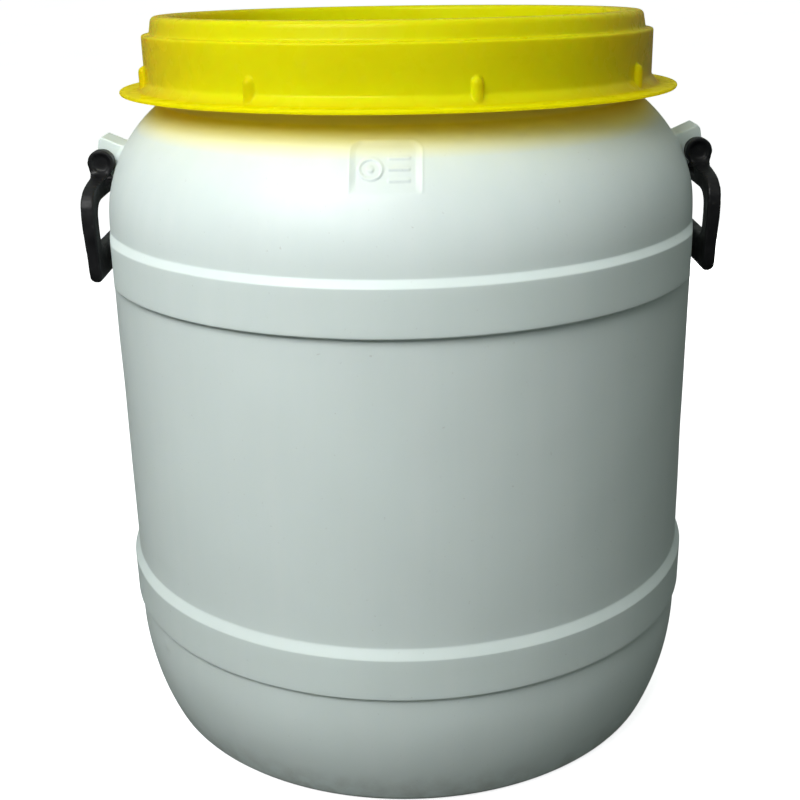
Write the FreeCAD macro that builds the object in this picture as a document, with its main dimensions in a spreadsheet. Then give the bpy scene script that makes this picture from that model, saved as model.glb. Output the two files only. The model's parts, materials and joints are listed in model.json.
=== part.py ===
"""Wide-mouth storage drum with a screw lid and two swing handles.

All lengths are in millimetres and all angles in degrees.  +Z is up, the origin is the centre of the
base on the floor, and the handles lie on the X axis.
"""

import FreeCAD
import Part

import math
import os

import Sketcher

# Driving dimensions.  The spreadsheet holds one named cell for each.
SIZES = {
    # Drum body, outside.
    "dish_height": 6,
    "dish_radius": 150,
    "foot_inner_radius": 165,
    "foot_outer_radius": 177.7,
    "heel_round": 10,
    "heel_radius": 186.86,
    "heel_height": 6,
    "corner_round": 172,
    "corner_top": 75,
    "base_wall_radius": 201.3,
    "band_radius": 203.7,
    "lower_band_bottom": 90.5,
    "lower_band_top": 125.5,
    "lower_band_slope": 6.5,
    "wall_radius": 200,
    "upper_band_bottom": 325.2,
    "upper_band_top": 359,
    "upper_band_slope": 4.3,
    "shoulder_round": 97,
    "neck_radius": 158.5,
    "neck_root": 437.6,
    "neck_top": 481.3,
    "neck_edge": 1.5,
    # Drum body, inside.
    "wall_thickness": 3.2,
    "cavity_floor_ring": 178,
    "cavity_heel_radius": 183.93,
    "cavity_heel_height": 7.28,
    "cavity_corner_round": 168.8,
    "cavity_shoulder_round": 93.8,
    "mouth_radius": 154.2,
    "mouth_root": 436.7,
    "mouth_overcut": 5,
    # Flattened places behind the handles.
    "recess_round": 335,
    "recess_edge": 186.05,
    "recess_half_width": 83,
    "recess_outside": 230,
    "recess_height": 75,
    # Handle lugs on the shoulder, and the pivot bore through each.
    "lug_half_width": 12.5,
    "lug_root": 172,
    "lug_back_height": 400.5,
    "lug_crest": 201.8,
    "lug_crest_height": 413.8,
    "lug_brow": 203.9,
    "lug_brow_height": 411.4,
    "lug_cheek": 205.2,
    "lug_cheek_height": 404.08,
    "lug_round": 7.6,
    "lug_chin": 198.8,
    "lug_chin_height": 390.36,
    "lug_foot": 195.4,
    "lug_foot_height": 386,
    "pivot_out": 201.4,
    "pivot_height": 397.5,
    "pivot_bore": 4.06,
    # Screw thread on the neck and in the lid.
    "thread_pitch": 12,
    "thread_turns": 1.25,
    "thread_bite": 0.5,
    "thread_depth": 4.9,
    "thread_root_half": 3.5,
    "thread_crest_half": 2,
    "neck_thread_height": 453.6,
    "lid_thread_height": 448,
    # Lid.
    "flange_bottom": 444.4,
    "flange_flat": 184.2,
    "flange_round": 1.2,
    "skirt_fillet": 5,
    "skirt_radius": 168.2,
    "skirt_inner": 165,
    "skirt_inner_top": 471.5,
    "skirt_top": 476,
    "skirt_round": 3,
    "ledge_fillet": 2,
    "rim_top": 490.5,
    "rim_draft": 1.6,
    "rim_round": 3.8,
    "rim_inner": 148.6,
    "rim_inner_round": 2.8,
    "panel_top": 468.5,
    "panel_fillet": 4,
    "panel_bottom": 465.3,
    "plug_radius": 152.2,
    "channel_roof": 485.4,
    "channel_radius": 160,
    "channel_foot": 475.5,
    "grip_count": 8,
    "grip_first_angle": 15,
    "grip_half_width": 3,
    "grip_back": 166.5,
    "grip_middle": 169.2,
    "grip_top": 459.8,
    # Gasket.
    "gasket_inner": 152.6,
    "gasket_outer": 159.6,
    "gasket_bottom": 481.35,
    "gasket_top": 485.35,
    # Handles.
    "eye_radius": 8.5,
    "eye_heel": 194.04,
    "eye_heel_height": 393.25,
    "eye_cheek": 209.39,
    "eye_cheek_height": 394.59,
    "notch_out": 208,
    "notch_height": 389,
    "arm_out": 209.6,
    "arm_out_height": 372,
    "arm_out_round": 110,
    "grip_out": 208.6,
    "grip_out_height": 345,
    "grip_out_round": 250,
    "elbow_in": 200.8,
    "elbow_in_height": 385,
    "arm_in": 201.4,
    "arm_in_height": 368,
    "tip_middle": 204.2,
    "tip_height": 326.3,
    "tip_round": 3.7,
    "frame_half_width": 57,
    "frame_bottom": 322,
    "frame_corner": 9,
    "frame_top": 430,
    "frame_outside": 80,
    "shoulder_height": 385.6,
    "shoulder_bend": 14,
    "yoke_top": 389,
    "yoke_fillet": 4,
    "eye_inner_face": 13.5,
    "eye_outer_face": 22.5,
    "slot_bottom": 380.5,
    "window_half_width": 44,
    "window_bottom": 344.5,
    "window_corner": 9,
    "window_top": 374.5,
    "window_bend": 14,
    "peg_radius": 4,
    "peg_tip": 4,
    "peg_gap_half_height": 6,
    "eye_dish_radius": 6,
    "eye_dish_depth": 1.5,
    "through_cut": 600,
}


def value(formula):
    """Number that a formula such as 'wall_radius - wall_thickness' gives."""
    total = 0.0
    sign = 1.0
    for word in formula.split():
        if word in ("+", "-"):
            sign = 1.0 if word == "+" else -1.0
        elif word != "0":
            total += sign * SIZES[word]
    return total


def expression(formula):
    """The same formula, with each name turned into a reference to the sheet's cell."""
    words = []
    for word in formula.split():
        words.append(word if word in ("+", "-", "0") else "Sizes." + word)
    return " ".join(words)


def make_sheet(doc):
    """Spreadsheet with one named cell for each driving dimension."""
    sheet = doc.addObject("Spreadsheet::Sheet", "Sizes")
    for row, (name, size) in enumerate(SIZES.items(), start=1):
        sheet.set("A%d" % row, name)
        sheet.set("B%d" % row, str(size))
        sheet.setAlias("B%d" % row, name)
    doc.recompute()


def origin_feature(body, role):
    """Plane or axis of a body's own origin, found by its role."""
    for feature in body.Origin.OriginFeatures:
        if feature.Role == role:
            return feature
    raise ValueError("no origin feature " + role)


def make_body(doc, name):
    body = doc.addObject("PartDesign::Body", name)
    body.Label = name
    return body


def attach_sketch(body, name, role="XZ_Plane", lift=None, turn=None):
    """Empty sketch on an origin plane, moved along its normal and turned if asked."""
    sketch = body.newObject("Sketcher::SketchObject", name)
    sketch.AttachmentSupport = [(origin_feature(body, role), "")]
    sketch.MapMode = "FlatFace"
    if lift:
        sketch.setExpression("AttachmentOffset.Base.z", expression(lift))
    if turn:
        sketch.setExpression("AttachmentOffset.Rotation.Angle", expression(turn))
    body.Document.recompute()
    return sketch


def pin_point(sketch, element, point, x, y):
    """Hold a point of the sketch at a place whose two distances are formulas."""
    for kind, formula in (("DistanceX", x), ("DistanceY", y)):
        constraint = Sketcher.Constraint(kind, -1, 1, element, point, value(formula))
        index = sketch.addConstraint(constraint)
        sketch.setExpression("Constraints[%d]" % index, expression(formula))


def pin_radius(sketch, element, formula):
    index = sketch.addConstraint(Sketcher.Constraint("Radius", element, value(formula)))
    sketch.setExpression("Constraints[%d]" % index, expression(formula))


def arc_between(start, end, radius, side):
    """Arc from start to end whose centre lies left (+1) or right (-1) of the way there."""
    chord = end - start
    middle = (start + end) * 0.5
    height = math.sqrt(radius ** 2 - chord.Length ** 2 / 4)
    across = FreeCAD.Vector(-chord.y, chord.x, 0).normalize()
    through = middle + across * side * (height - radius)
    return Part.Arc(start, through, end)


def draw_outline(sketch, stations):
    """Closed outline through stations (x, y) or (x, y, radius, side), all given as formulas.

    A station with a radius is reached by an arc and any other by a straight line.
    """
    points = []
    for station in stations:
        points.append(FreeCAD.Vector(value(station[0]), value(station[1]), 0))
    edges = []
    ends = []
    for index, station in enumerate(stations):
        start = points[index - 1]
        end = points[index]
        if len(station) == 4:
            curve = arc_between(start, end, value(station[2]), station[3])
        else:
            curve = Part.LineSegment(start, end)
        edge = sketch.addGeometry(curve, False)
        edges.append(edge)
        # An arc is stored anticlockwise, so the end of the way may be its first point.
        ends.append(2 if (sketch.getPoint(edge, 2) - end).Length < 1e-6 else 1)
    for index, station in enumerate(stations):
        after = (index + 1) % len(stations)
        joint = Sketcher.Constraint("Coincident", edges[index], ends[index], edges[after], 3 - ends[after])
        sketch.addConstraint(joint)
        pin_point(sketch, edges[index], ends[index], station[0], station[1])
        if len(station) == 4:
            pin_radius(sketch, edges[index], station[2])


def draw_circle(sketch, x, y, radius):
    """Circle whose centre and radius are formulas."""
    centre = FreeCAD.Vector(value(x), value(y), 0)
    circle = sketch.addGeometry(Part.Circle(centre, FreeCAD.Vector(0, 0, 1), value(radius)), False)
    pin_point(sketch, circle, 3, x, y)
    pin_radius(sketch, circle, radius)


def finish_feature(body, feature, grows=None):
    """Recompute, make the feature the tip and check that it added or removed material."""
    body.Tip = feature
    body.Document.recompute()
    before = feature.BaseFeature.Shape.Volume if feature.BaseFeature else 0.0
    change = feature.Shape.Volume - before
    if grows is not None and (change > 0) != grows:
        raise RuntimeError("%s changed the volume by %.1f" % (feature.Label, change))
    return feature


def revolve(body, kind, name, stations):
    """Full turn about Z of an outline in the XZ plane: a Revolution adds it, a Groove cuts it."""
    sketch = attach_sketch(body, name + "_outline")
    draw_outline(sketch, stations)
    feature = body.newObject("PartDesign::" + kind, name)
    feature.Profile = sketch
    feature.ReferenceAxis = (origin_feature(body, "Z_Axis"), [""])
    feature.Angle = 360
    return finish_feature(body, feature, grows=kind == "Revolution")


def extrude(body, kind, name, sketch, length, both_ways=False, reverse=False):
    """Pad or pocket of a sketch, whose full length is a formula."""
    feature = body.newObject("PartDesign::" + kind, name)
    feature.Profile = sketch
    feature.Midplane = both_ways
    feature.Reversed = reverse
    feature.setExpression("Length", expression(length))
    return finish_feature(body, feature, grows=kind == "Pad")


def spin_copies(body, feature, count):
    """Copies of a feature, evenly spaced about Z."""
    pattern = body.newObject("PartDesign::PolarPattern", feature.Name + "_copies")
    pattern.Originals = [feature]
    pattern.Axis = (origin_feature(body, "Z_Axis"), [""])
    pattern.Angle = 360
    pattern.Occurrences = count
    return finish_feature(body, pattern)


def helix_ridge(body, name, root, crest, height):
    """Right-handed thread ridge whose section narrows from the root radius to the crest radius."""
    sketch = attach_sketch(body, name + "_section")
    draw_outline(sketch, [
        (root, height + " - thread_root_half"),
        (crest, height + " - thread_crest_half"),
        (crest, height + " + thread_crest_half"),
        (root, height + " + thread_root_half"),
    ])
    ridge = body.newObject("PartDesign::AdditiveHelix", name)
    ridge.Profile = sketch
    ridge.ReferenceAxis = (origin_feature(body, "Z_Axis"), [""])
    ridge.Mode = "pitch-turns-angle"
    ridge.setExpression("Pitch", "Sizes.thread_pitch")
    ridge.setExpression("Turns", "Sizes.thread_turns")
    return finish_feature(body, ridge, grows=True)


def flatten_sides(body, name, edge, bottom):
    """Wide shallow cylinder cut off each side that faces a handle, from a height upwards."""
    plan = attach_sketch(body, name + "_plan", "XY_Plane", lift=bottom)
    draw_outline(plan, [
        (edge, "- recess_half_width", "recess_round", -1),
        ("recess_outside", "- recess_half_width"),
        ("recess_outside", "recess_half_width"),
        (edge, "recess_half_width"),
    ])
    flat = extrude(body, "Pocket", name, plan, "recess_height", reverse=True)
    spin_copies(body, flat, 2)


def make_cavity(doc):
    """Solid that fills the drum, one wall thickness inside its outside."""
    body = make_body(doc, "drum_cavity")
    revolve(body, "Revolution", "drum_inside", [
        ("0", "dish_height + wall_thickness"),
        ("dish_radius", "dish_height + wall_thickness"),
        ("foot_inner_radius", "wall_thickness"),
        ("cavity_floor_ring", "wall_thickness"),
        ("cavity_heel_radius", "cavity_heel_height"),
        ("base_wall_radius - wall_thickness", "corner_top", "cavity_corner_round", 1),
        ("base_wall_radius - wall_thickness", "lower_band_bottom"),
        ("wall_radius - wall_thickness", "lower_band_top"),
        ("wall_radius - wall_thickness", "upper_band_top"),
        ("mouth_radius", "mouth_root", "cavity_shoulder_round", 1),
        ("mouth_radius", "neck_top + mouth_overcut"),
        ("0", "neck_top + mouth_overcut"),
    ])
    flatten_sides(body, "cavity_flat", "recess_edge - wall_thickness", "upper_band_bottom - wall_thickness")
    return body


def make_drum_body(doc):
    """Blow-moulded shell: dished base, two raised bands, shoulder, threaded neck and two lugs."""
    body = make_body(doc, "drum_body")
    revolve(body, "Revolution", "drum_outside", [
        ("0", "dish_height"),
        ("dish_radius", "dish_height"),
        ("foot_inner_radius", "0"),
        ("foot_outer_radius", "0"),
        ("heel_radius", "heel_height", "heel_round", 1),
        ("base_wall_radius", "corner_top", "corner_round", 1),
        ("base_wall_radius", "lower_band_bottom"),
        ("band_radius", "lower_band_bottom"),
        ("band_radius", "lower_band_top - lower_band_slope"),
        ("wall_radius", "lower_band_top"),
        ("wall_radius", "upper_band_bottom"),
        ("band_radius", "upper_band_bottom"),
        ("band_radius", "upper_band_top - upper_band_slope"),
        ("wall_radius", "upper_band_top"),
        ("neck_radius", "neck_root", "shoulder_round", 1),
        ("neck_radius", "neck_top - neck_edge"),
        ("neck_radius - neck_edge", "neck_top"),
        ("0", "neck_top"),
    ])

    flatten_sides(body, "handle_recess", "recess_edge", "upper_band_bottom")

    lug_side = attach_sketch(body, "lug_side")
    draw_outline(lug_side, [
        ("lug_root", "lug_foot_height"),
        ("lug_foot", "lug_foot_height"),
        ("lug_chin", "lug_chin_height"),
        ("pivot_out + lug_round", "pivot_height", "lug_round", 1),
        ("lug_cheek", "lug_cheek_height", "lug_round", 1),
        ("lug_brow", "lug_brow_height"),
        ("lug_crest", "lug_crest_height"),
        ("lug_root", "lug_back_height"),
    ])
    lug = extrude(body, "Pad", "handle_lug", lug_side, "lug_half_width + lug_half_width", both_ways=True)
    spin_copies(body, lug, 2)

    hollow = body.newObject("PartDesign::Boolean", "hollow")
    hollow.Type = "Cut"
    hollow.setObjects([make_cavity(doc)])
    finish_feature(body, hollow, grows=False)

    bore_side = attach_sketch(body, "bore_side")
    draw_circle(bore_side, "pivot_out", "pivot_height", "pivot_bore")
    bore = extrude(body, "Pocket", "pivot_bore_cut", bore_side, "through_cut", both_ways=True)
    spin_copies(body, bore, 2)

    helix_ridge(body, "neck_thread", "neck_radius - thread_bite", "neck_radius + thread_depth",
                "neck_thread_height")
    return body


def make_lid(doc):
    """One-piece screw lid: sunk panel, rolled rim with a gasket channel, skirt, flange and grips."""
    body = make_body(doc, "screw_lid")
    revolve(body, "Revolution", "lid_shell", [
        ("0", "panel_bottom"),
        ("plug_radius", "panel_bottom"),
        ("plug_radius", "channel_roof"),
        ("channel_radius", "channel_roof"),
        ("channel_radius", "channel_foot"),
        ("skirt_inner", "skirt_inner_top"),
        ("skirt_inner", "flange_bottom"),
        ("flange_flat", "flange_bottom"),
        ("flange_flat + flange_round", "flange_bottom + flange_round", "flange_round", 1),
        ("flange_flat", "flange_bottom + flange_round + flange_round", "flange_round", 1),
        ("skirt_radius + skirt_fillet", "flange_bottom + flange_round + flange_round"),
        ("skirt_radius", "flange_bottom + flange_round + flange_round + skirt_fillet", "skirt_fillet", -1),
        ("skirt_radius", "skirt_top"),
        ("skirt_radius - skirt_round", "skirt_top + skirt_round", "skirt_round", 1),
        ("skirt_radius - skirt_round - ledge_fillet", "skirt_top + skirt_round + ledge_fillet",
         "ledge_fillet", -1),
        ("skirt_radius - skirt_round - ledge_fillet - rim_draft", "rim_top - rim_round"),
        ("skirt_radius - skirt_round - ledge_fillet - rim_draft - rim_round", "rim_top", "rim_round", 1),
        ("rim_inner + rim_inner_round", "rim_top"),
        ("rim_inner", "rim_top - rim_inner_round", "rim_inner_round", 1),
        ("rim_inner", "panel_top + panel_fillet"),
        ("rim_inner - panel_fillet", "panel_top", "panel_fillet", -1),
        ("0", "panel_top"),
    ])

    plan = attach_sketch(body, "grip_plan", "XY_Plane", lift="flange_bottom + flange_round",
                         turn="grip_first_angle")
    draw_outline(plan, [
        ("grip_back", "- grip_half_width"),
        ("grip_middle", "- grip_half_width"),
        ("grip_middle + grip_half_width", "0", "grip_half_width", 1),
        ("grip_middle", "grip_half_width", "grip_half_width", 1),
        ("grip_back", "grip_half_width"),
    ])
    grip = extrude(body, "Pad", "lid_grip", plan, "grip_top - flange_bottom - flange_round")
    spin_copies(body, grip, SIZES["grip_count"])

    helix_ridge(body, "lid_thread", "skirt_inner + thread_bite", "channel_radius", "lid_thread_height")
    return body


def make_gasket(doc):
    """Flat sealing ring in the roof of the lid's channel, just above the neck."""
    body = make_body(doc, "lid_gasket")
    revolve(body, "Revolution", "gasket_ring", [
        ("gasket_inner", "gasket_bottom"),
        ("gasket_outer", "gasket_bottom"),
        ("gasket_outer", "gasket_top"),
        ("gasket_inner", "gasket_top"),
    ])
    return body


def make_handle(doc, name, heading):
    """Moulded bail: a flat frame whose two eyes straddle the lug, with a peg in each eye."""
    body = make_body(doc, name)
    side = attach_sketch(body, name + "_side")
    draw_outline(side, [
        ("tip_middle - tip_round", "tip_height"),
        ("tip_middle", "tip_height - tip_round", "tip_round", 1),
        ("tip_middle + tip_round", "tip_height", "tip_round", 1),
        ("grip_out", "grip_out_height"),
        ("arm_out", "arm_out_height", "grip_out_round", 1),
        ("notch_out", "notch_height", "arm_out_round", 1),
        ("eye_cheek", "eye_cheek_height"),
        ("pivot_out", "pivot_height + eye_radius", "eye_radius", 1),
        ("eye_heel", "eye_heel_height", "eye_radius", 1),
        ("elbow_in", "elbow_in_height"),
        ("arm_in", "arm_in_height"),
    ])
    extrude(body, "Pad", name + "_blank", side, "frame_half_width + frame_half_width", both_ways=True)

    frame = attach_sketch(body, name + "_frame", "YZ_Plane")
    draw_outline(frame, [
        ("- frame_outside", "frame_bottom - frame_corner"),
        ("frame_outside", "frame_bottom - frame_corner"),
        ("frame_outside", "frame_top + frame_corner"),
        ("- frame_outside", "frame_top + frame_corner"),
    ])
    draw_outline(frame, [
        ("frame_corner - frame_half_width", "frame_bottom", "frame_corner", 1),
        ("frame_half_width - frame_corner", "frame_bottom"),
        ("frame_half_width", "frame_bottom + frame_corner", "frame_corner", 1),
        ("frame_half_width", "shoulder_height - shoulder_bend"),
        ("frame_half_width - shoulder_bend", "shoulder_height", "shoulder_bend", 1),
        ("eye_outer_face + yoke_fillet", "yoke_top"),
        ("eye_outer_face", "yoke_top + yoke_fillet", "yoke_fillet", -1),
        ("eye_outer_face", "frame_top"),
        ("- eye_outer_face", "frame_top"),
        ("- eye_outer_face", "yoke_top + yoke_fillet"),
        ("- eye_outer_face - yoke_fillet", "yoke_top", "yoke_fillet", -1),
        ("shoulder_bend - frame_half_width", "shoulder_height"),
        ("- frame_half_width", "shoulder_height - shoulder_bend", "shoulder_bend", 1),
        ("- frame_half_width", "frame_bottom + frame_corner"),
    ])
    extrude(body, "Pocket", name + "_outside", frame, "through_cut", both_ways=True)

    window = attach_sketch(body, name + "_window", "YZ_Plane")
    draw_outline(window, [
        ("window_corner - window_half_width", "window_bottom", "window_corner", 1),
        ("window_half_width - window_corner", "window_bottom"),
        ("window_half_width", "window_bottom + window_corner", "window_corner", 1),
        ("window_half_width", "window_top - window_bend"),
        ("window_half_width - window_bend", "window_top", "window_bend", 1),
        ("window_bend - window_half_width", "window_top"),
        ("- window_half_width", "window_top - window_bend", "window_bend", 1),
        ("- window_half_width", "window_bottom + window_corner"),
    ])
    extrude(body, "Pocket", name + "_opening", window, "through_cut", both_ways=True)

    slot = attach_sketch(body, name + "_slot", "YZ_Plane")
    draw_outline(slot, [
        ("- eye_inner_face", "slot_bottom"),
        ("eye_inner_face", "slot_bottom"),
        ("eye_inner_face", "frame_top"),
        ("- eye_inner_face", "frame_top"),
    ])
    extrude(body, "Pocket", name + "_lug_slot", slot, "through_cut", both_ways=True)

    peg_side = attach_sketch(body, name + "_peg_side")
    draw_circle(peg_side, "pivot_out", "pivot_height", "peg_radius")
    extrude(body, "Pad", name + "_peg_bar", peg_side, "eye_inner_face + eye_inner_face", both_ways=True)
    gap = attach_sketch(body, name + "_peg_gap", "YZ_Plane")
    draw_outline(gap, [
        ("- peg_tip", "pivot_height - peg_gap_half_height"),
        ("peg_tip", "pivot_height - peg_gap_half_height"),
        ("peg_tip", "pivot_height + peg_gap_half_height"),
        ("- peg_tip", "pivot_height + peg_gap_half_height"),
    ])
    extrude(body, "Pocket", name + "_pegs_apart", gap, "through_cut", both_ways=True)

    for face, lift, backwards in (("front", "eye_outer_face", False), ("back", "- eye_outer_face", True)):
        dish = attach_sketch(body, "%s_%s_dish" % (name, face), lift=lift)
        draw_circle(dish, "pivot_out", "pivot_height", "eye_dish_radius")
        extrude(body, "Pocket", "%s_%s_eye" % (name, face), dish, "eye_dish_depth", reverse=backwards)

    body.Placement = FreeCAD.Placement(FreeCAD.Vector(), FreeCAD.Rotation(FreeCAD.Vector(0, 0, 1), heading))
    doc.recompute()
    return body


def check_document(doc, bodies):
    """Stop if any object failed or any sub-part has no sound shape."""
    for item in doc.Objects:
        if "Invalid" in item.State or "Error" in item.State:
            raise RuntimeError("%s failed: %s" % (item.Label, item.State))
    for body in bodies:
        if body.Shape.isNull() or not body.Shape.isValid() or len(body.Shape.Solids) != 1:
            raise RuntimeError(body.Label + " has no single valid solid")


def main():
    doc = FreeCAD.newDocument("ScrewLidDrum")
    make_sheet(doc)
    bodies = [make_drum_body(doc), make_lid(doc), make_gasket(doc)]
    for name, heading in (("handle_right", 0), ("handle_left", 180)):
        bodies.append(make_handle(doc, name, heading))
    check_document(doc, bodies)
    os.makedirs("parts", exist_ok=True)
    for body in bodies:
        body.Shape.exportStep(os.path.join("parts", body.Label + ".step"))
        print("%-14s %9.1f cm3" % (body.Label, body.Shape.Volume / 1000))


main()
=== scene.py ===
"""A white plastic drum with a yellow screw lid and two black swing handles, in a small plain studio."""
import json
import math
from collections import namedtuple

import bmesh
import bpy
import numpy as np
from mathutils import Matrix, Vector


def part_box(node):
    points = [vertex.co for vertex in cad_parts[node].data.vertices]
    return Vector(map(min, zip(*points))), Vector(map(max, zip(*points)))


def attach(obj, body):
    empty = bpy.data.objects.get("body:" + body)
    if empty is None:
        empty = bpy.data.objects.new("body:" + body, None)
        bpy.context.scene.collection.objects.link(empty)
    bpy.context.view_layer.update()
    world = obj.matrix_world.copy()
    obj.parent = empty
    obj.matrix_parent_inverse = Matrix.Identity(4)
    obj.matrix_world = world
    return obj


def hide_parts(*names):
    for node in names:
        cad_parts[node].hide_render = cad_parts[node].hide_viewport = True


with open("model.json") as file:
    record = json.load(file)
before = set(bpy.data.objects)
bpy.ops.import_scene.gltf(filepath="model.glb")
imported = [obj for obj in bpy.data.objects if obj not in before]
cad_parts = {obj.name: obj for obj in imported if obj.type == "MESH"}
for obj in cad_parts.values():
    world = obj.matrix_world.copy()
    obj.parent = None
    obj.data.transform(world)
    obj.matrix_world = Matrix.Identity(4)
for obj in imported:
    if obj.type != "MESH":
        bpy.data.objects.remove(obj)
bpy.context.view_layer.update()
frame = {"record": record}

MM = 0.001

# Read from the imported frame, in millimetres.
DRUM_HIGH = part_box("drum_body")[1] / MM
LID_LOW, LID_HIGH = (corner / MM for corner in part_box("screw_lid"))
GASKET_LOW, GASKET_HIGH = (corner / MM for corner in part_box("lid_gasket"))
JOINTS = {joint["name"]: joint for joint in frame["record"]["behaviour"]["joints"]}
PIVOT = Vector(JOINTS["right_handle_swing"]["pos_m"]) / MM

# Drum, in millimetres: radii of its outside, and the wall inside it.
BAND_RADIUS = DRUM_HIGH.y
WALL_RADIUS = BAND_RADIUS - 3.7
BELLY_RADIUS = BAND_RADIUS - 2.4
NECK_RADIUS = 158.5
NECK_TOP = DRUM_HIGH.z
WALL = 3.2
SHOULDER_START, SHOULDER_END = 359.0, 437.6
SHOULDER_ARC = 97.0
SHOULDER_CENTRE_R, SHOULDER_CENTRE_Z = 103.0, 358.0

# Flats behind the handles.
RECESS_LOW, RECESS_HIGH = 325.2, 400.2
RECESS_ARC = 335.0
RECESS_MIDDLE = 196.5

# Thread, shared by neck and lid.
PITCH = 12.0
THREAD_TURNS = 1.25
THREAD_RUN_OUT = 14.0  # degrees over which each end of the ridge fades
NECK_THREAD_Z, NECK_THREAD_HEIGHT = 453.6, 4.9
LID_THREAD_Z, LID_THREAD_HEIGHT = 448.0, 5.0

# Recessed panel on the shoulder: degrees round from -Y, heights, and its height measured along the slope.
PANEL_MIDDLE = -2.5
PANEL_HALF_WIDTH = 19.8
PANEL_LOW, PANEL_HIGH = 404.2, 430.2
PANEL_ALONG_SLOPE = 33.5
PANEL_CORNER = 7.0

# Faint round mark low on the wall: degrees round from -Y, and height.
ROUND_MARK_AT, ROUND_MARK_Z = -56.8, 78.0

# Lean of the lid's outside in degrees, and how far its flange hangs.
LID_LEAN, LID_SIDE_LEAN, FLANGE_DROP = 1.3, 0.35, 2.2
SKIRT_RADIUS = 168.2

# Grips on the lid's skirt.
GRIPS = 8
GRIP_FIRST = 15.0
GRIP_HALF_WIDTH = 3.0
GRIP_HEIGHT = 3.9
GRIP_TOP = 460.4

# Handle.
EYE_INNER, EYE_OUTER = 13.5, 22.5
FRAME_HALF_WIDTH, WINDOW_HALF_WIDTH = 57.0, 44.0
WINDOW_LOW, WINDOW_HIGH = 344.5, 374.5
SLOT_LOW = 380.5
DISH_RADIUS, DISH_DEPTH = 6.0, 1.5
PEG_RADIUS, PEG_END = 4.0, 4.0
HANDLE_VOXEL = 0.8

# Lug: half its width, its edges' rounding, the flare at its root, its bore, and the room for the eye's swing.
LUG_HALF_WIDTH = 12.5
LUG_EDGE = 1.2
LUG_FLARE = 3.5
BORE_RADIUS = 4.06
EYE_CLEARANCE = 9.4

# Heights in metres: where the painted light from the lid on the shoulder fades in, and where it ends under
# the flange.
PAINTED_GLOW_START, PAINTED_GLOW_FULL = 0.421, 0.437
PAINTED_GLOW_CUT, PAINTED_GLOW_END = 0.4435, 0.447

# Light.
WORLD_BELOW, WORLD_ABOVE = 0.055, 0.28
FLOOR_GLOW = 0.93
FLOOR_INNER, FLOOR_GROWTH, FLOOR_RINGS = 0.3, 1.09, 48

Stop = namedtuple("Stop", "r z corner bow step", defaults=(0.0, 0.0, 4.0))


# ---------------------------------------------------------------- outlines

def arc_or_line(start, end, bow):
    """A function from 0..1 to points on the run, and the run's length; a positive bow bulges to its right."""
    start, end = np.array(start, float), np.array(end, float)
    chord = end - start
    length = float(np.linalg.norm(chord))
    if not bow:
        return (lambda t: start + chord * t), length
    radius = abs(bow)
    right = np.array([chord[1], -chord[0]]) / length * math.copysign(1, bow)
    centre = (start + end) / 2 - right * math.sqrt(radius ** 2 - length ** 2 / 4)
    first = math.atan2(*(start - centre)[::-1])
    turn = 2 * math.asin(length / 2 / radius) * math.copysign(1, bow)

    def on_arc(t):
        return centre + radius * np.array([math.cos(first + turn * t), math.sin(first + turn * t)])

    return on_arc, abs(turn) * radius


def rounded_outline(stops, closed=False):
    """Points along straight and bowed runs from stop to stop, with each stop's corner rounded."""
    count = len(stops)
    runs = []
    for i in range(count if closed else count - 1):
        here, there = stops[i], stops[(i + 1) % count]
        runs.append(arc_or_line(here[:2], there[:2], here.bow))
    trims = np.zeros(count)
    for i in range(0 if closed else 1, count if closed else count - 1):
        (before, before_length), (after, after_length) = runs[i - 1], runs[i % len(runs)]
        incoming = before(1.0) - before(0.98)
        outgoing = after(0.02) - after(0.0)
        cosine = np.dot(incoming, outgoing) / np.linalg.norm(incoming) / np.linalg.norm(outgoing)
        half_turn = math.acos(max(-1.0, min(1.0, cosine))) / 2
        trims[i] = min(stops[i].corner * math.tan(half_turn), before_length * 0.46, after_length * 0.46)
    points = []
    for i, (run, length) in enumerate(runs):
        begin, finish = trims[i] / length, 1 - trims[(i + 1) % count] / length
        pieces = max(1, math.ceil(length * (finish - begin) / stops[i].step))
        points += [run(begin + (finish - begin) * k / pieces) for k in range(pieces + 1)]
        corner = (i + 1) % count
        if trims[corner] > 0:
            after, after_length = runs[(i + 1) % len(runs)]
            a, b, c = points[-1], np.array(stops[corner][:2], float), after(trims[corner] / after_length)
            points += [(1 - t) ** 2 * a + 2 * t * (1 - t) * b + t * t * c for t in (0.2, 0.4, 0.6, 0.8)]
    kept = [points[0]]
    for point in points[1:]:
        if np.linalg.norm(point - kept[-1]) > 0.02:
            kept.append(point)
    if closed and np.linalg.norm(kept[0] - kept[-1]) < 0.02:
        kept.pop()
    return np.array(kept)


def azimuths(coarse, fine, spots, reach):
    """Angles round the circle in degrees, close together within reach of the spots."""
    angles, angle = [], 0.0
    while angle < 360:
        angles.append(angle)
        off = min(abs((angle - spot + 180) % 360 - 180) for spot in spots) - reach
        angle += fine + (coarse - fine) * min(1.0, max(0.0, off / (coarse * 4)))
    return np.array(angles) * 360 / angle


# ---------------------------------------------------------------- meshes

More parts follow.
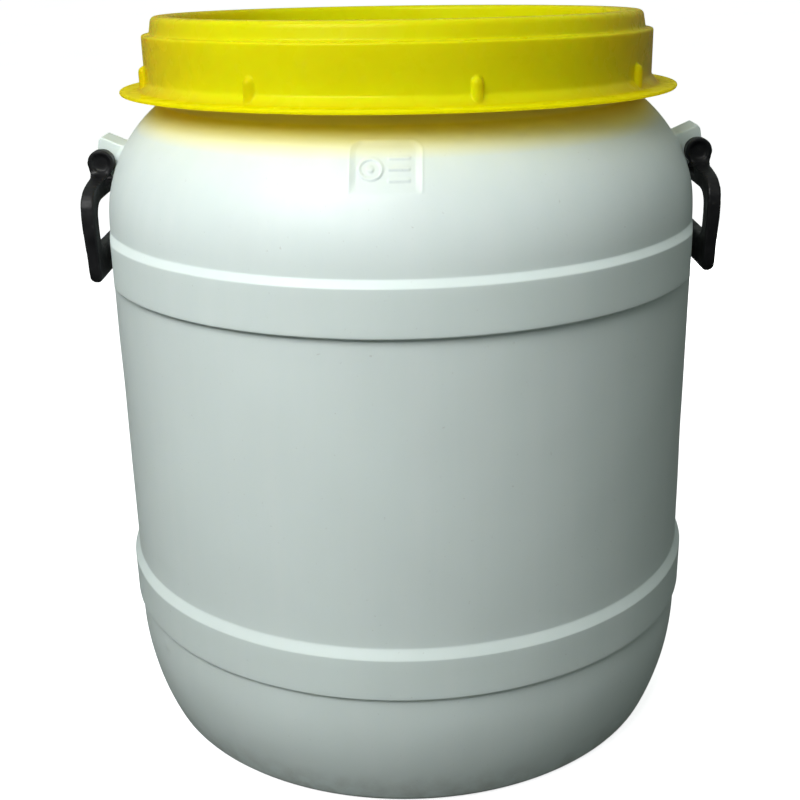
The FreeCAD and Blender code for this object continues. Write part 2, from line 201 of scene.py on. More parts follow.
def grid_object(name, points, wrap_rows, poles=False):
    """A smooth mesh from rows of points that close round the columns; millimetres in, metres out."""
    rows, columns = points.shape[:2]
    index = np.arange(rows * columns).reshape(rows, columns)
    lower = index if wrap_rows else index[:-1]
    upper = np.roll(index, -1, axis=0) if wrap_rows else index[1:]
    quads = np.stack([lower, np.roll(lower, -1, axis=1), np.roll(upper, -1, axis=1), upper], axis=-1)
    vertices = points.reshape(-1, 3)
    faces = quads.reshape(-1, 4).tolist()
    if poles:
        vertices = np.vstack([vertices, points[0].mean(axis=0), points[-1].mean(axis=0)])
        first, last = rows * columns, rows * columns + 1
        faces += [(first, index[0, (k + 1) % columns], index[0, k]) for k in range(columns)]
        faces += [(last, index[-1, k], index[-1, (k + 1) % columns]) for k in range(columns)]
    mesh = bpy.data.meshes.new(name)
    mesh.from_pydata((vertices * MM).tolist(), [], faces)
    mesh.polygons.foreach_set("use_smooth", [True] * len(mesh.polygons))
    mesh.update()
    piece = bpy.data.objects.new(name, mesh)
    bpy.context.scene.collection.objects.link(piece)
    return piece


def revolved(outline, angles):
    """The outline's points at each angle: radius, height and angle as three grids."""
    radius = np.repeat(outline[:, :1], len(angles), axis=1)
    height = np.repeat(outline[:, 1:2], len(angles), axis=1)
    return radius, height, np.tile(np.radians(angles), (len(outline), 1))


def to_space(radius, height, angle):
    return np.stack([radius * np.cos(angle), radius * np.sin(angle), height], axis=-1)


def degrees_from(angle, middle):
    """Degrees from a place given as degrees round from -Y, in -180..180."""
    return (np.degrees(angle) + 90 - middle + 180) % 360 - 180


def swell(distance, half_width, softness):
    """1 inside half_width, 0 outside, with a soft edge centred on it."""
    t = np.clip((half_width + softness / 2 - np.abs(distance)) / softness, 0, 1)
    return t * t * (3 - 2 * t)


def soft_min(a, b, softness):
    blend = np.clip(0.5 + (b - a) / (2 * softness), 0, 1)
    return b + (a - b) * blend - softness * blend * (1 - blend)


def thread_ridge(angle, height, first_height):
    """Share of the thread's height at each place, for a right-handed ridge of THREAD_TURNS from +X."""
    ridge = np.zeros_like(height)
    sweep = THREAD_TURNS * 360
    for turn in range(math.ceil(THREAD_TURNS)):
        along = np.degrees(angle) % 360 + 360 * turn
        ends = np.clip(along / THREAD_RUN_OUT, 0, 1) * np.clip((sweep - along) / THREAD_RUN_OUT, 0, 1)
        across = height - first_height - PITCH * along / 360
        ridge = np.maximum(ridge, swell(across, 2.75, 1.7) * ends)
    return ridge


# ---------------------------------------------------------------- drum

def shoulder_radius(height):
    """The shoulder's outside radius at a height."""
    rise = np.clip(np.asarray(height, float) - SHOULDER_CENTRE_Z, 0, SHOULDER_ARC - 1)
    return SHOULDER_CENTRE_R + np.sqrt(SHOULDER_ARC ** 2 - rise ** 2)


def drum_outline():
    """The shell's outline: its outside from the base's middle up to the neck's rim, then its inside back."""
    inner_neck = NECK_RADIUS - 4.3
    outside = [
        Stop(8, 6, step=12), Stop(150, 6, 6, step=3), Stop(165, 0, 4), Stop(177.7, 0, 5, 10, 1.5),
        Stop(186.86, 6, 6, 172, 3.5), Stop(BELLY_RADIUS, 75, 5, step=3),
        Stop(BELLY_RADIUS, 90.5, 0.7, step=1), Stop(BAND_RADIUS, 90.5, 1.5, step=3),
        Stop(BAND_RADIUS, 119, 2.2, step=1.2), Stop(WALL_RADIUS, 125.5, 3.5, step=4.5),
        Stop(WALL_RADIUS, 325.2, 0.7, step=1), Stop(BAND_RADIUS, 325.2, 1.5, step=2.5),
        Stop(BAND_RADIUS, 354.7, 1.8, step=1), Stop(WALL_RADIUS, SHOULDER_START, 2.0, SHOULDER_ARC, 0.9),
        Stop(NECK_RADIUS, SHOULDER_END, 2.5, step=0.9), Stop(NECK_RADIUS, NECK_TOP - 1.4, 1.0, step=1),
        Stop(NECK_RADIUS - 1.5, NECK_TOP, 0.8, step=1),
    ]
    inside = [
        Stop(inner_neck, NECK_TOP, 1.2, step=3), Stop(inner_neck, SHOULDER_END - 1, 3, -93.8, 3.5),
        Stop(WALL_RADIUS - WALL, SHOULDER_START, 3, step=12), Stop(WALL_RADIUS - WALL, 125.5, 6, step=4),
        Stop(BELLY_RADIUS - WALL, 90.5, 6, step=6), Stop(BELLY_RADIUS - WALL, 75, 6, -168.8, 6),
        Stop(183.93, 7.28, 3), Stop(178, 3.2, 2), Stop(165, 3.2, 3, step=4),
        Stop(150, 9.2, 5, step=12), Stop(8, 9.2),
    ]
    return rounded_outline(outside + inside)


def panel_relief(angle, height):
    """Relief of the recessed panel: its low frame, the sunk field, and the plain ring, dot and bars in it."""
    across = np.radians(degrees_from(angle, PANEL_MIDDLE)) * shoulder_radius(height)
    slope = PANEL_ALONG_SLOPE / (PANEL_HIGH - PANEL_LOW)
    up = (height - (PANEL_LOW + PANEL_HIGH) / 2) * slope
    half_height = (PANEL_HIGH - PANEL_LOW) / 2 * slope
    reach_x = np.maximum(np.abs(across) - (PANEL_HALF_WIDTH - PANEL_CORNER), 0)
    reach_y = np.maximum(up - (half_height - PANEL_CORNER), 0)
    edge = np.hypot(reach_x, reach_y) - PANEL_CORNER
    raised = swell(edge - 0.6, 0.6, 1.0) * (up > -half_height + 1)
    inside = np.clip(-edge / 3.0, 0, 1) * np.clip((up + half_height) / 9, 0, 1)
    ring = swell(np.hypot(across + 8.5, up + 1) - 6.4, 0.8, 0.9)
    dot = swell(np.hypot(across + 8.5, up + 1), 2.0, 1.0)
    bars = sum(swell(up - level, 0.9, 0.9) * swell(across - 7.5, 6.2, 1.0) for level in (6.0, -1.0, -8.0))
    marks = np.maximum(np.maximum(ring, dot), np.clip(bars, 0, 1))
    return 0.35 * raised - 1.35 * inside + 0.95 * marks


def moulding_marks(angle, height, radius):
    """Two gate nubs, a speck and a faint round mark on the wall."""
    relief = np.zeros_like(height)
    nubs = ((-2.05, 309.6, 1.5, 0.9), (-2.43, 251.5, 1.5, 0.9), (-2.94, 322.0, 0.9, 0.3))
    for place, level, size, rise in nubs:
        across = np.radians(degrees_from(angle, place)) * radius
        relief += rise * swell(np.hypot(across, height - level), size, 1.6)
    across = np.radians(degrees_from(angle, ROUND_MARK_AT)) * radius
    off = np.hypot(across, height - ROUND_MARK_Z)
    return relief + 0.45 * swell(off - 2.7, 0.5, 0.8) + 0.3 * swell(off, 0.6, 0.8)


def wall_ripple(angle, height):
    """Slow unevenness that blow moulding leaves in a wall: waves with turns, rate, start and size."""
    waves = (
        (3, 0.011, 0.0, 0.16), (5, -0.017, 1.1, 0.13), (8, 0.027, 2.3, 0.08),
        (13, -0.043, 0.7, 0.05), (21, 0.06, 4.0, 0.03),
    )
    return sum(size * np.sin(turns * angle + rate * height * 2 + start) for turns, rate, start, size in waves)


def make_drum_shell():
    """The shell, with its relief, neck thread and the flats that are pressed in behind the handles."""
    outline = drum_outline()
    top = int(np.argmax(outline[:, 1]))
    angles = azimuths(0.9, 0.17, [270 + PANEL_MIDDLE], 7.5)
    radius, height, angle = revolved(outline, angles)
    outer = np.zeros_like(radius)
    outer[:top + 1] = 1
    wall = outer * np.clip((height - 12) / 30, 0, 1) * np.clip((SHOULDER_END - 4 - height) / 30, 0, 1)
    parting_line = 0.22 * swell(np.sin(angle) * radius, 0.6, 1.2)
    radius = radius + wall * wall_ripple(angle, height) + wall * parting_line
    radius = radius + outer * panel_relief(angle, height) * (height > 380) * (height < SHOULDER_END)
    radius = radius + outer * moulding_marks(angle, height, radius) * (height > 60) * (height < 330)
    neck = outer * (height > SHOULDER_END) * (height < NECK_TOP - 1)
    radius = radius + neck * NECK_THREAD_HEIGHT * thread_ridge(angle, height, NECK_THREAD_Z)
    x, y = radius * np.cos(angle), radius * np.sin(angle)
    for side in (1, -1):
        flat = RECESS_MIDDLE - RECESS_ARC + np.sqrt(RECESS_ARC ** 2 - np.clip(y, -200, 200) ** 2)
        flat = flat - (1 - outer) * WALL
        from_middle = height - (RECESS_LOW + RECESS_HIGH) / 2
        inside_height = swell(from_middle, (RECESS_HIGH - RECESS_LOW) / 2 + 1, 2.0)
        pressed = soft_min(side * x, flat, 0.9)
        x = np.where(side * x > 100, x + (side * pressed - x) * inside_height, x)
    points = np.stack([x, y, height], axis=-1)
    return grid_object("drum_shell", points, wrap_rows=False, poles=True)


def lug_section():
    """Radius of the lug's side outline at each angle round the pivot."""
    stops = [
        Stop(184, 384.5, 1), Stop(195.4, 385.5, 2.5), Stop(198.8, 390.36, 1, 7.62),
        Stop(209.0, 397.5, 0, 7.62), Stop(205.2, 404.08, 0.5), Stop(203.9, 411.4, 1.0),
        Stop(201.8, 413.8, 1.0), Stop(178, 403.2, 1),
    ]
    outline = rounded_outline([stop._replace(step=0.5) for stop in stops], closed=True)
    outline = outline - np.array([PIVOT.x, PIVOT.z])
    angle = np.arctan2(outline[:, 1], outline[:, 0])
    order = np.argsort(angle)
    return angle[order], np.hypot(outline[order, 0], outline[order, 1])


def make_lug(name, side):
    """One handle lug, with rounded edges, a bore for the pegs, and a root that flares into the shoulder."""
    known, reach = lug_section()
    around = np.linspace(0, 2 * math.pi, 120, endpoint=False)
    section = np.interp((around + math.pi) % (2 * math.pi) - math.pi, known, reach, period=2 * math.pi)
    level = np.ones_like(section)

    # Rings of points, each a radius and a place along Y: a flat face, its rounded edge, and the sides.
    bore_edge = BORE_RADIUS + 0.5
    face = []
    for share in np.linspace(0, 1, 12):
        face.append((bore_edge + (section - LUG_EDGE - BORE_RADIUS - 0.5) * share, LUG_HALF_WIDTH * level))
    for step in range(1, 7):
        turn = step / 6 * math.pi / 2
        drop = LUG_EDGE * (1 - math.sin(turn))
        face.append((section - drop, (LUG_HALF_WIDTH - LUG_EDGE * (1 - math.cos(turn))) * level))
    straight = LUG_HALF_WIDTH - LUG_EDGE
    middle = [(section, y * level) for y in np.linspace(straight, -straight, 20)[1:-1]]
    ends = face + middle + [(r, -y) for r, y in reversed(face)]
    bore_half = LUG_HALF_WIDTH - 0.6
    bore = [(BORE_RADIUS * level, y * level) for y in np.linspace(-bore_half, bore_half, 14)]
    reach = np.array([r for r, _ in ends + bore])
    across = np.array([y for _, y in ends + bore])
    x = PIVOT.x + reach * np.cos(around)
    z = PIVOT.z + reach * np.sin(around)

    # The flare: near the shoulder each outside point moves out along the lug's own faces.
    depth = np.hypot(x, across) - shoulder_radius(z)
    near = np.clip(LUG_FLARE - np.clip(depth, -1, LUG_FLARE), 0, LUG_FLARE)
    grow = LUG_FLARE - np.sqrt(LUG_FLARE ** 2 - near ** 2)
    outside = np.arange(len(x)) < len(ends)
    end_share = np.clip((np.abs(across) - straight) / LUG_EDGE, 0, 1) * outside[:, None]
    side_share = (1 - end_share) * outside[:, None]
    x = x + grow * side_share * np.cos(around) * 0.35
    z = z + grow * side_share * np.sin(around)
    clear_of_eye = np.clip((reach - EYE_CLEARANCE) / 2, 0, 1)
    across = across + np.sign(across) * grow * end_share * clear_of_eye
    points = np.stack([side * x, side * across, z], axis=-1)
    return grid_object(name, points, wrap_rows=True)


# ---------------------------------------------------------------- lid and gasket

def lid_outline():
    """The lid's outline: the inside from the panel's middle out to the flange, then the outside back up."""
    return rounded_outline([
        Stop(8, 465.3, step=14), Stop(152.2, 465.3, 2, step=4), Stop(152.2, 485.4, 1.2, step=3),
        Stop(160, 485.4, 1.2, step=3), Stop(160, 475.5, 2, step=3), Stop(165, 471.5, 2, step=0.9),
        Stop(165, LID_LOW.z, 0.8, step=3), Stop(184.2, LID_LOW.z, 0.5, 1.3, 0.5),
        Stop(184.2, LID_LOW.z + 2.4, 0.7, step=2.5), Stop(173.2, 446.8, 3.5, step=1),
        Stop(SKIRT_RADIUS, 451.8, 2.5, step=0.9), Stop(SKIRT_RADIUS, 476, 0.5, step=1.2),
        Stop(SKIRT_RADIUS, 479, 3.0, step=1.2), Stop(163.2, 479.6, 2.0, step=0.9),
        Stop(161.2, LID_HIGH.z, 4.2, step=1.5), Stop(148.6, LID_HIGH.z, 3.4, step=1.5),
        Stop(148.6, 468.5, 4.5, step=3), Stop(8, 468.5),
    ])


def make_lid():
    """The lid, with its grips and inner thread, and the small lean that the photograph shows."""
    outline = lid_outline()
    grips = [GRIP_FIRST + 360 / GRIPS * k for k in range(GRIPS)]
    angles = azimuths(1.0, 0.16, grips, 1.7)
    radius, height, angle = revolved(outline, angles)
    row = np.arange(len(outline))[:, None]
    top = int(np.argmax(outline[:, 1] > LID_HIGH.z - 0.2))
    flange = int(np.argmax(outline[:, 0]))
    skirt = (row > flange) & (row < top) & (radius < 175) & (height < 470)
    bump = np.zeros_like(radius)
    for grip in grips:
        across = np.radians((np.degrees(angle) - grip + 180) % 360 - 180) * 169
        above = np.clip((height - (GRIP_TOP - GRIP_HEIGHT)) / GRIP_HEIGHT, 0, 1)
        shape = np.clip(1 - (across / (GRIP_HALF_WIDTH + 0.5)) ** 2 - above ** 2, 0, 1) ** 0.5
        bump = np.maximum(bump, shape * GRIP_HEIGHT)
    radius = np.where(skirt & (bump > 0.05), np.maximum(radius, SKIRT_RADIUS + bump), radius)
    inner = (row < flange) & (radius > 162) & (height < 469)
    radius = radius - inner * LID_THREAD_HEIGHT * thread_ridge(angle, height, LID_THREAD_Z)
    panel = (row > top) & (radius < 140)
    height = height + panel * 0.35 * np.sin(2 * angle + 0.6) * (radius / 140) * (1 - radius / 140) * 2
    # The lid sits a little high at the front: its outside leans, its sealing faces stay level.
    across, deep = radius * np.cos(angle), radius * np.sin(angle)
    lean = -deep * math.tan(math.radians(LID_LEAN)) - across * math.tan(math.radians(LID_SIDE_LEAN))
    outside = row >= flange
    hem = (row < flange) & (radius > 164) & (height < 448)
    low_outside = np.clip((458 - height) / 10, 0, 1) * (radius > 163)
    foot = np.where(outside, low_outside, hem * np.clip((448 - height) / 3.6, 0, 1))
    share = np.where(outside, np.clip((radius - 20) / 60, 0, 1), foot)
    height = height + lean * share - FLANGE_DROP * foot
    return grid_object("lid_skin", to_space(radius, height, angle), wrap_rows=False, poles=True)


def make_gasket():
    """The flat sealing ring, a little uneven where the neck presses on it."""
    inner, outer = 152.6, GASKET_HIGH.x
    low, high = GASKET_LOW.z, GASKET_HIGH.z
    outline = rounded_outline([
        Stop(outer, low, 0.9, step=1.2), Stop(outer, high, 0.9, step=1.2),
        Stop(inner, high, 0.9, step=1.2), Stop(inner, low, 0.9, step=1.2),
    ], closed=True)
    radius, height, angle = revolved(outline, np.arange(0, 360, 1.25))
    height = height + 0.06 * np.sin(37 * angle) * (height < (low + high) / 2)
    return grid_object("gasket_ring", to_space(radius, height, angle), wrap_rows=True)


# ---------------------------------------------------------------- handles

def handle_side():
    """The frame's side outline, in X and Z."""
    return rounded_outline([
        Stop(200.3, 326.3, 0, 3.92, 1.0), Stop(208.1, 326.3, 2, 0, 2), Stop(208.8, 345, 4, 250, 3),
        Stop(209.8, 372, 6, 110, 2.5), Stop(208.7, 388.5, 1, 0, 2), Stop(210.0, 394.6, 1, 8.8, 1.0),
        Stop(201.4, 406.3, 0, 8.8, 1.0), Stop(194.04, 393.0, 3, 0, 2), Stop(200.8, 385, 4, 0, 2),
        Stop(201.3, 368, 4, 0, 2),
    ], closed=True)


def handle_front():
    """The frame's outline seen along X, in Y and Z: eyes, shoulders and rounded bottom corners."""
    half = [
        Stop(FRAME_HALF_WIDTH, 322, 9), Stop(FRAME_HALF_WIDTH, 383.0, 26), Stop(27, 388.8, 4),
        Stop(EYE_OUTER, 391, 2), Stop(EYE_OUTER, 430, 0),
    ]
    return rounded_outline(half + [stop._replace(r=-stop.r) for stop in reversed(half)], closed=True)


def upright_box(half_width, low, high, low_corner, high_corner):
    """The outline of a rounded rectangle about the middle, in Y and Z."""
    return rounded_outline([
        Stop(-half_width, low, low_corner, step=8), Stop(half_width, low, low_corner, step=8),
        Stop(half_width, high, high_corner, step=8), Stop(-half_width, high, high_corner, step=8),
    ], closed=True)


def prism(name, outline, start, stop, axis="y"):
    """A closed solid with the outline swept from start to stop along one axis."""
    work = bmesh.new()
    place = {"y": lambda a, b, c: (a, c, b), "x": lambda a, b, c: (c, a, b)}[axis]
    low = [work.verts.new(Vector(place(a, b, start)) * MM) for a, b in outline]
    high = [work.verts.new(Vector(place(a, b, stop)) * MM) for a, b in outline]
    work.faces.new(low)
    work.faces.new(list(reversed(high)))
    for k in range(len(outline)):
        nxt = (k + 1) % len(outline)
        work.faces.new((low[nxt], low[k], high[k], high[nxt]))
    bmesh.ops.recalc_face_normals(work, faces=work.faces)
    mesh = bpy.data.meshes.new(name)
    work.to_mesh(mesh)
    work.free()
    piece = bpy.data.objects.new(name, mesh)
    bpy.context.scene.collection.objects.link(piece)
    return piece


def circle(centre_a, centre_b, radius, count=48):
    turns = np.linspace(0, 2 * math.pi, count, endpoint=False)
    return [(centre_a + radius * math.cos(t), centre_b + radius * math.sin(t)) for t in turns]


def combine(base, tools, operation):
    """Applies a boolean of each tool to the base and removes the tools."""
    for tool in tools:
        change = base.modifiers.new(operation, "BOOLEAN")
        change.operation, change.object, change.solver = operation, tool, "EXACT"
        apply_modifiers(base)
        bpy.data.objects.remove(tool)


def apply_modifiers(piece):
    """Bakes a piece's modifiers into its mesh."""
    graph = bpy.context.evaluated_depsgraph_get()
    mesh = bpy.data.meshes.new_from_object(piece.evaluated_get(graph))
    piece.modifiers.clear()
    old, piece.data = piece.data, mesh
    bpy.data.meshes.remove(old)


def make_handle(name, side):
    """One handle: a flat frame whose two dished eyes and pegs straddle the lug."""
    handle = prism(name, handle_side(), -FRAME_HALF_WIDTH - 4, FRAME_HALF_WIDTH + 4)
    combine(handle, [prism("frame", handle_front(), 170, 230, axis="x")], "INTERSECT")
    window = upright_box(WINDOW_HALF_WIDTH, WINDOW_LOW, WINDOW_HIGH, 9, 14)
    slot = upright_box(EYE_INNER, SLOT_LOW, 440, 2, 0)
    openings = [prism("window", window, 160, 240, axis="x"), prism("slot", slot, 160, 240, axis="x")]
    combine(handle, openings, "DIFFERENCE")
    dish, peg = circle(PIVOT.x, PIVOT.z, DISH_RADIUS), circle(PIVOT.x, PIVOT.z, PEG_RADIUS)
    dishes, pegs = [], []
    for end in (1, -1):
        dishes.append(prism("dish", dish, end * (EYE_OUTER - DISH_DEPTH), end * (EYE_OUTER + 3)))
    combine(handle, dishes, "DIFFERENCE")
    for end in (1, -1):
        pegs.append(prism("peg", peg, end * PEG_END, end * (EYE_INNER + 4)))
    combine(handle, pegs, "UNION")
    remesh = handle.modifiers.new("remesh", "REMESH")
    remesh.mode, remesh.voxel_size, remesh.use_smooth_shade = "VOXEL", HANDLE_VOXEL * MM, True
    smooth = handle.modifiers.new("smooth", "SMOOTH")
    smooth.factor, smooth.iterations = 0.5, 7
    apply_modifiers(handle)
    handle.data.transform(Matrix.Rotation(0 if side > 0 else math.pi, 4, "Z"))
    handle.data.polygons.foreach_set("use_smooth", [True] * len(handle.data.polygons))
    return handle


# ---------------------------------------------------------------- materials

class Finish:
    """A Principled material whose colour, gloss and relief come from textures fixed to the object."""

    def __init__(self, name):
        self.material = bpy.data.materials.new(name)
        self.material.use_nodes = True
        self.tree = self.material.node_tree
        self.shader = self.tree.nodes["Principled BSDF"]
        self.place = self.tree.nodes.new("ShaderNodeTexCoord").outputs["Object"]

    def feed(self, socket, value):
        """Links a socket to another node's output, or sets its value."""
        if isinstance(value, bpy.types.NodeSocket):
            self.tree.links.new(value, socket)
        else:
            socket.default_value = value

    def node(self, kind, settings=None, **sockets):
        made = self.tree.nodes.new(kind)
        for key, value in (settings or {}).items():
            setattr(made, key, value)
        for key, value in sockets.items():
            self.feed(made.inputs[key.replace("_", " ")], value)
        return made

    def noise(self, scale, detail=4.0, stretch=(1, 1, 1), roughness=0.55):
        moved = self.node("ShaderNodeMapping", Vector=self.place, Scale=stretch)
        made = self.node(
            "ShaderNodeTexNoise", Vector=moved.outputs["Vector"],
            Scale=scale, Detail=detail, Roughness=roughness,
        )
        return made.outputs["Fac"]

    def cells(self, scale):
        return self.node("ShaderNodeTexVoronoi", Vector=self.place, Scale=scale).outputs["Distance"]

    def height(self):
        return self.node("ShaderNodeSeparateXYZ", Vector=self.place).outputs["Z"]

    def spread(self, value, start, stop, low=0.0, high=1.0):
        """The value's place between start and stop, clamped, as a number between low and high."""
        made = self.node(
            "ShaderNodeMapRange", Value=value, From_Min=start, From_Max=stop, To_Min=low, To_Max=high,
        )
        made.clamp = True
        return made.outputs["Result"]

    def product(self, a, b):
        made = self.node("ShaderNodeMath", {"operation": "MULTIPLY"})
        for socket, value in zip(made.inputs, (a, b)):
            self.feed(socket, value)
        return made.outputs["Value"]

    def mix(self, share, first, second):
        made = self.node("ShaderNodeMix", {"data_type": "RGBA"})
        for socket, value in ((made.inputs[0], share), (made.inputs[6], first), (made.inputs[7], second)):
            self.feed(socket, (*value, 1) if isinstance(value, tuple) else value)
        return made.outputs[2]

    def set(self, **sockets):
        for key, value in sockets.items():
            self.feed(self.shader.inputs[key.replace("_", " ")], value)

    def relief(self, *layers):
        """Bumps, each a height texture, its strength and its depth in millimetres."""
        normal = None
        for height, strength, depth in layers:
            bump = self.node("ShaderNodeBump", Height=height, Strength=strength, Distance=depth * MM)
            if normal is not None:
                self.tree.links.new(normal, bump.inputs["Normal"])
            normal = bump.outputs["Normal"]
        self.tree.links.new(normal, self.shader.inputs["Normal"])


def white_plastic():
    finish = Finish("white_polyethylene")
    cloud = finish.spread(finish.noise(5, 3), 0.35, 0.65)
    streak = finish.spread(finish.noise(60, 4, (1, 1, 0.05)), 0.4, 0.7)
    colour = finish.mix(cloud, (0.76, 0.86, 0.83), (0.72, 0.81, 0.785))
    colour = finish.mix(finish.product(streak, 0.22), colour, (0.82, 0.88, 0.86))
    speck = finish.spread(finish.noise(420, 2), 0.72, 0.78)
    colour = finish.mix(finish.product(speck, 0.35), colour, (0.45, 0.47, 0.42))
    # Darker in patches within 3 cm of the floor.
    near_floor = finish.spread(finish.height(), 0.03, 0.0)
    low_patches = finish.product(near_floor, finish.spread(finish.noise(70, 5), 0.4, 0.65))
    colour = finish.mix(finish.product(low_patches, 0.5), colour, (0.38, 0.38, 0.34))
    scuff = finish.spread(finish.noise(28, 6, (1, 1, 7)), 0.58, 0.75)
    rough = finish.spread(scuff, 0, 1, 0.40, 0.58)
    # Painted light: the yellow light that comes through the lid is painted into the shoulder's colour under
    # the flange, and not on the neck that the lid covers.
    painted_glow_rising = finish.spread(finish.height(), PAINTED_GLOW_START, PAINTED_GLOW_FULL)
    glow = finish.product(painted_glow_rising, finish.spread(finish.height(), PAINTED_GLOW_END, PAINTED_GLOW_CUT))
    colour = finish.mix(glow, colour, (0.97, 0.84, 0.12))
    finish.set(Base_Color=colour, Roughness=rough, Subsurface_Weight=0.18, Subsurface_Scale=0.006, IOR=1.5)
    finish.shader.inputs["Subsurface Radius"].default_value = (1.0, 0.95, 0.8)
    finish.relief(
        (finish.noise(1400, 2), 0.10, 0.10),
        (finish.noise(90, 4, (1, 1, 0.08)), 0.18, 0.25),
        (finish.noise(22, 3), 0.25, 0.8),
    )
    return finish.material


def yellow_plastic():
    finish = Finish("yellow_polyethylene")
    cloud = finish.spread(finish.noise(12, 4), 0.35, 0.65)
    colour = finish.mix(cloud, (0.86, 0.93, 0.004), (0.82, 0.85, 0.003))
    scuff = finish.spread(finish.noise(160, 5, (1, 1, 0.6)), 0.60, 0.72)
    colour = finish.mix(finish.product(scuff, 0.12), colour, (0.88, 0.88, 0.10))
    apart = finish.node("ShaderNodeSeparateXYZ", Vector=finish.place)
    aside = finish.node("ShaderNodeMath", {"operation": "ABSOLUTE"}, Value=apart.outputs["X"])
    aside = aside.outputs["Value"]
    # Painted shade: the yellow deepens to orange towards the lid's two sides.
    colour = finish.mix(finish.product(finish.spread(aside, 0.10, 0.170), 0.5), colour, (0.86, 0.60, 0.002))
    rough = finish.spread(finish.noise(45, 5), 0.3, 0.7, 0.20, 0.36)
    finish.set(
        Base_Color=colour, Roughness=rough, IOR=1.45, Specular_IOR_Level=0.3,
        Subsurface_Weight=0.35, Subsurface_Scale=0.012,
    )
    finish.shader.inputs["Subsurface Radius"].default_value = (1.0, 0.55, 0.03)
    finish.shader.inputs["Specular Tint"].default_value = (1.0, 0.95, 0.35, 1)
    finish.relief((finish.noise(900, 2), 0.08, 0.08), (finish.noise(30, 3), 0.22, 0.5))
    # Light passes through the thin flange more than through the skirt.
    flat = finish.node("ShaderNodeCombineXYZ", X=apart.outputs["X"], Y=apart.outputs["Y"])
    length = finish.node("ShaderNodeVectorMath", {"operation": "LENGTH"}, Vector=flat.outputs["Vector"])
    radius = length.outputs["Value"]
    thin = finish.spread(radius, 0.170, 0.174, 0.32, 0.68)
    glow = finish.mix(finish.spread(radius, 0.170, 0.174), (0.96, 0.60, 0.0), (0.93, 0.86, 0.0))
    through = finish.node("ShaderNodeBsdfTranslucent", Color=glow)
    mixed = finish.node("ShaderNodeMixShader", Fac=thin)
    finish.tree.links.new(finish.shader.outputs["BSDF"], mixed.inputs[1])
    finish.tree.links.new(through.outputs["BSDF"], mixed.inputs[2])
    finish.tree.links.new(mixed.outputs["Shader"], finish.tree.nodes["Material Output"].inputs["Surface"])
    return finish.material


def black_plastic():
    finish = Finish("black_polypropylene")
    cloud = finish.spread(finish.noise(60, 5), 0.35, 0.65)
    colour = finish.mix(cloud, (0.003, 0.003, 0.004), (0.007, 0.007, 0.008))
    scuff = finish.spread(finish.noise(260, 6, (1, 0.5, 1)), 0.62, 0.74)
    colour = finish.mix(finish.product(scuff, 0.30), colour, (0.05, 0.05, 0.05))
    rough = finish.spread(finish.noise(120, 5), 0.3, 0.7, 0.34, 0.54)
    finish.set(Base_Color=colour, Roughness=rough, IOR=1.5, Specular_IOR_Level=0.3)
    finish.relief((finish.noise(1600, 2), 0.22, 0.12), (finish.noise(80, 3), 0.2, 0.4))
    return finish.material


def grey_foam():
    finish = Finish("grey_foam_rubber")
    cloud = finish.spread(finish.noise(80, 4), 0.35, 0.65)
    colour = finish.mix(cloud, (0.60, 0.60, 0.57), (0.50, 0.50, 0.48))
    rough = finish.spread(finish.noise(300, 3), 0.3, 0.7, 0.75, 0.95)
    finish.set(Base_Color=colour, Roughness=rough)
    finish.relief((finish.cells(900), 0.5, 0.25), (finish.noise(60, 3), 0.2, 0.4))
    return finish.material


def studio_paint():
    finish = Finish("studio_floor")
    cloud = finish.spread(finish.noise(2.2, 4), 0.35, 0.65)
    colour = finish.mix(cloud, (0.86, 0.86, 0.86), (0.84, 0.84, 0.845))
    rough = finish.spread(finish.noise(9, 3), 0.3, 0.7, 0.7, 0.85)
    finish.set(Base_Color=colour, Roughness=rough, Emission_Color=colour, Emission_Strength=FLOOR_GLOW)
    finish.relief((finish.noise(300, 2), 0.04, 0.2))
    return finish.material


# ---------------------------------------------------------------- studio

def make_camera():
    """The photograph's camera: above the lid and close, looking down by pitch."""
    pitch, yaw, roll = 0.35008, -0.00372, -0.02127
    ahead = Vector((math.sin(yaw) * math.cos(pitch), math.cos(yaw) * math.cos(pitch), -math.sin(pitch)))
    level = Vector((math.cos(yaw), -math.sin(yaw), 0))
    upright = level.cross(ahead)
    right = level * math.cos(roll) + upright * math.sin(roll)
    up = upright * math.cos(roll) - level * math.sin(roll)
    data = bpy.data.cameras.new("camera")
    data.lens, data.sensor_width = 56.62, 36
    data.clip_start = 0.02
    camera = bpy.data.objects.new("camera", data)
    turn = Matrix((right, up, -ahead)).transposed().to_4x4()
    camera.matrix_world = Matrix.Translation((0, -0.8738, 0.5346)) @ turn
    bpy.context.scene.collection.objects.link(camera)
    bpy.context.scene.camera = camera


def make_light(name, place, aim, size, power):
    """A soft rectangular light that the camera doesn't see."""
    data = bpy.data.lights.new(name, "AREA")
    data.shape, data.size, data.size_y = "RECTANGLE", size[0], size[1]
    data.energy = power
    light = bpy.data.objects.new(name, data)
    light.location = place
    light.rotation_mode = "QUATERNION"
    light.rotation_quaternion = (Vector(aim) - Vector(place)).to_track_quat("-Z", "Y")
    light.visible_camera = False
    bpy.context.scene.collection.objects.link(light)
    return light


def make_floor(material):
    """A flat disc of widening rings, filled in the middle."""
    reach = np.array([FLOOR_INNER * FLOOR_GROWTH ** k for k in range(FLOOR_RINGS)])
    outline = np.stack([reach / MM, np.zeros(FLOOR_RINGS)], axis=-1)
    radius, height, angle = revolved(outline, np.arange(0, 360, 5))
    floor = grid_object("floor", to_space(radius, height, angle), wrap_rows=False)
    work = bmesh.new()
    work.from_mesh(floor.data)
    rim = [e for e in work.edges if e.is_boundary and e.verts[0].co.length < FLOOR_INNER + 0.01]
    bmesh.ops.contextual_create(work, geom=rim)
    bmesh.ops.recalc_face_normals(work, faces=work.faces)
    work.to_mesh(floor.data)
    work.free()
    floor.data.materials.append(material)
    floor.visible_diffuse = False
    floor.visible_glossy = False


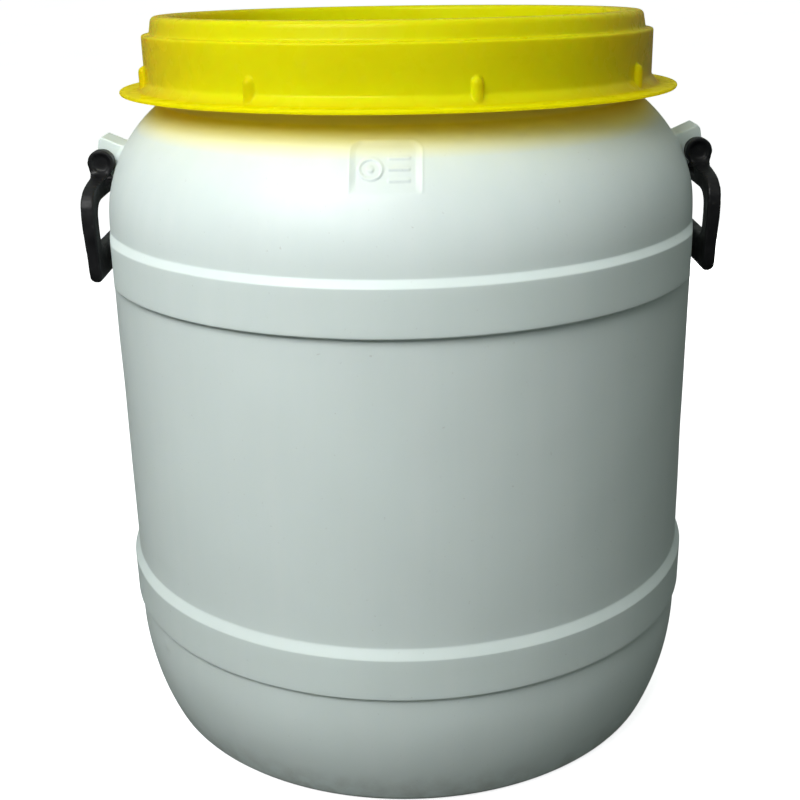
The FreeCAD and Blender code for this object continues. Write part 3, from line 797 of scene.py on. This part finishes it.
def make_studio():
    """Floor, backdrop, world and lights."""
    paint = studio_paint()
    make_floor(paint)
    make_backdrop(paint)
    make_world()
    make_light("key", (-0.55, -0.95, 1.22), (0, 0, 0.33), (1.1, 0.7), 18.0)
    make_light("top", (-0.3, 0.1, 2.4), (0, 0, 0.3), (1.8, 1.8), 5)
    back = make_light("back", (0.45, 1.55, 0.40), (0, 0, 0.26), (0.8, 0.6), 9.0)
    back.visible_glossy = False
    bpy.context.scene.view_settings.view_transform = "Standard"


def make_backdrop(material):
    """A wide bowl that closes the studio all round, and that the object's light passes through."""
    outline = [(13.0, 0.01), (14.0, 0.25), (15.0, 0.8), (15.8, 1.8), (16.3, 3.2), (16.6, 6.0), (16.7, 11.0)]
    radius, height, angle = revolved(np.array(outline) / MM, np.arange(0, 360, 5))
    backdrop = grid_object("backdrop", to_space(radius, height, angle), wrap_rows=False)
    backdrop.data.materials.append(material)
    backdrop.visible_diffuse = backdrop.visible_glossy = False
    backdrop.visible_transmission = backdrop.visible_shadow = False


def make_world():
    """A pale dome, dimmer below the horizon because the floor gives the object little light."""
    world = bpy.data.worlds.new("studio")
    world.use_nodes = True
    tree = world.node_tree
    place = tree.nodes.new("ShaderNodeTexCoord")
    split = tree.nodes.new("ShaderNodeSeparateXYZ")
    spread = tree.nodes.new("ShaderNodeMapRange")
    limits = {"From Min": -0.25, "From Max": 0.35, "To Min": WORLD_BELOW, "To Max": WORLD_ABOVE}
    for name, value in limits.items():
        spread.inputs[name].default_value = value
    tree.links.new(place.outputs["Generated"], split.inputs["Vector"])
    tree.links.new(split.outputs["Z"], spread.inputs["Value"])
    tree.links.new(spread.outputs["Result"], tree.nodes["Background"].inputs["Strength"])
    tree.nodes["Background"].inputs["Color"].default_value = (0.90, 1.0, 0.93, 1)
    bpy.context.scene.world = world


def dress(piece, body, node, material):
    """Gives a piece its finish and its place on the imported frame."""
    piece.data.materials.clear()
    piece.data.materials.append(material)
    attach(piece, body)
    if node:
        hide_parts(node)


def main():
    make_camera()
    white, yellow, black, grey = white_plastic(), yellow_plastic(), black_plastic(), grey_foam()
    dress(make_drum_shell(), "drum", "drum_body", white)
    dress(make_lug("lug_right", 1), "drum", None, white)
    dress(make_lug("lug_left", -1), "drum", None, white)
    dress(make_lid(), "lid", "screw_lid", yellow)
    dress(make_gasket(), "gasket", "lid_gasket", grey)
    dress(make_handle("bail_right", 1), "right_handle", "handle_right", black)
    dress(make_handle("bail_left", -1), "left_handle", "handle_left", black)
    make_studio()


main()
